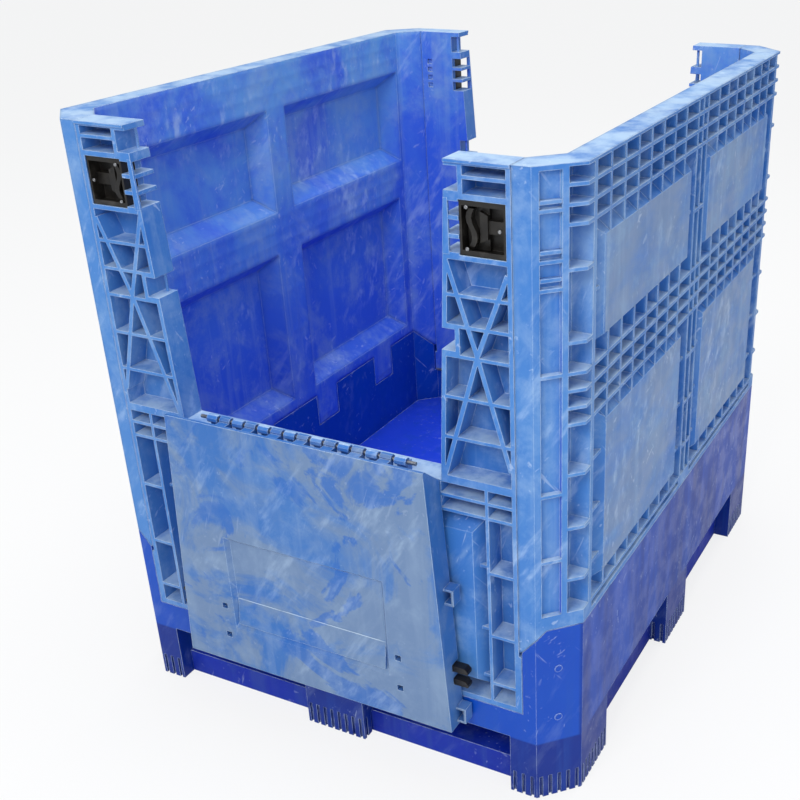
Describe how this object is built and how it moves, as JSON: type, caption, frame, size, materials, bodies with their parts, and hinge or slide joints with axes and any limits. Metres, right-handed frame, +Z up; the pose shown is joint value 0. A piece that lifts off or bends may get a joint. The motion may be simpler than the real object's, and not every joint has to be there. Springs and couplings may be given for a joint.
{
  "type": "collapsible bulk container",
  "caption": "Blue plastic bulk container on pallet feet, with ribbed side walls, end walls that fold inwards, and a drop door hanging open at each end.",
  "frame": {"origin": "on the ground under the middle of the base", "axes": "+Z up, -Y towards the front end wall with its door, +X to the right seen from the front"},
  "size_m": [1, 1.304, 1.165],
  "materials": {
    "base_blue": "moulded, worn",
    "wall_blue": "moulded, worn",
    "door_blue": "moulded, worn",
    "skid_blue": "moulded, worn",
    "latch_black": "satin",
    "steel": "satin"
  },
  "bodies": {
    "container": {"base": "base_blue", "skid_frame": "skid_blue", "side_wall_right": "wall_blue", "side_wall_left": "wall_blue", "side_hinge_rod_right": "steel", "side_hinge_rod_left": "steel", "front_hinge_rod": "steel", "rear_hinge_rod": "steel"},
    "front_wall": {"front_wall": "wall_blue", "front_door_rod": "steel", "front_latch_tray_right": "latch_black", "front_latch_tray_left": "latch_black"},
    "front_door": {"front_door": "door_blue"},
    "front_latch_right": {"front_latch_right": "latch_black"},
    "front_door_catch_right": {"front_door_catch_right": "latch_black"},
    "front_latch_left": {"front_latch_left": "latch_black"},
    "front_door_catch_left": {"front_door_catch_left": "latch_black"},
    "rear_wall": {"rear_wall": "wall_blue", "rear_door_rod": "steel", "rear_latch_tray_right": "latch_black", "rear_latch_tray_left": "latch_black"},
    "rear_door": {"rear_door": "door_blue"},
    "rear_latch_right": {"rear_latch_right": "latch_black"},
    "rear_door_catch_right": {"rear_door_catch_right": "latch_black"},
    "rear_latch_left": {"rear_latch_left": "latch_black"},
    "rear_door_catch_left": {"rear_door_catch_left": "latch_black"}
  },
  "joints": [
    {"name": "front_wall_fold", "type": "hinge", "parent": "container", "child": "front_wall", "pos_m": [0, -0.548, 0.19], "axis": [-1, 0, 0], "range_deg": [0, 90]},
    {"name": "front_door_drop", "type": "hinge", "parent": "front_wall", "child": "front_door", "pos_m": [0, -0.602, 0.652], "axis": [-1, 0, 0], "range_deg": [0, 180]},
    {"name": "front_latch_right_slide", "type": "slide", "parent": "front_wall", "child": "front_latch_right", "axis": [1, 0, 0], "range_m": [0, 0.02]},
    {"name": "front_door_catch_right_slide", "type": "slide", "parent": "front_door", "child": "front_door_catch_right", "axis": [-1, 0, 0], "range_m": [0, 0.024]},
    {"name": "front_latch_left_slide", "type": "slide", "parent": "front_wall", "child": "front_latch_left", "axis": [-1, 0, 0], "range_m": [0, 0.02]},
    {"name": "front_door_catch_left_slide", "type": "slide", "parent": "front_door", "child": "front_door_catch_left", "axis": [1, 0, 0], "range_m": [0, 0.024]},
    {"name": "rear_wall_fold", "type": "hinge", "parent": "container", "child": "rear_wall", "pos_m": [0, 0.548, 0.25], "axis": [1, 0, 0], "range_deg": [0, 90]},
    {"name": "rear_door_drop", "type": "hinge", "parent": "rear_wall", "child": "rear_door", "pos_m": [0, 0.602, 0.652], "axis": [1, 0, 0], "range_deg": [0, 180]},
    {"name": "rear_latch_right_slide", "type": "slide", "parent": "rear_wall", "child": "rear_latch_right", "axis": [1, 0, 0], "range_m": [0, 0.02]},
    {"name": "rear_door_catch_right_slide", "type": "slide", "parent": "rear_door", "child": "rear_door_catch_right", "axis": [-1, 0, 0], "range_m": [0, 0.024]},
    {"name": "rear_latch_left_slide", "type": "slide", "parent": "rear_wall", "child": "rear_latch_left", "axis": [-1, 0, 0], "range_m": [0, 0.02]},
    {"name": "rear_door_catch_left_slide", "type": "slide", "parent": "rear_door", "child": "rear_door_catch_left", "axis": [1, 0, 0], "range_m": [0, 0.024]}
  ]
}
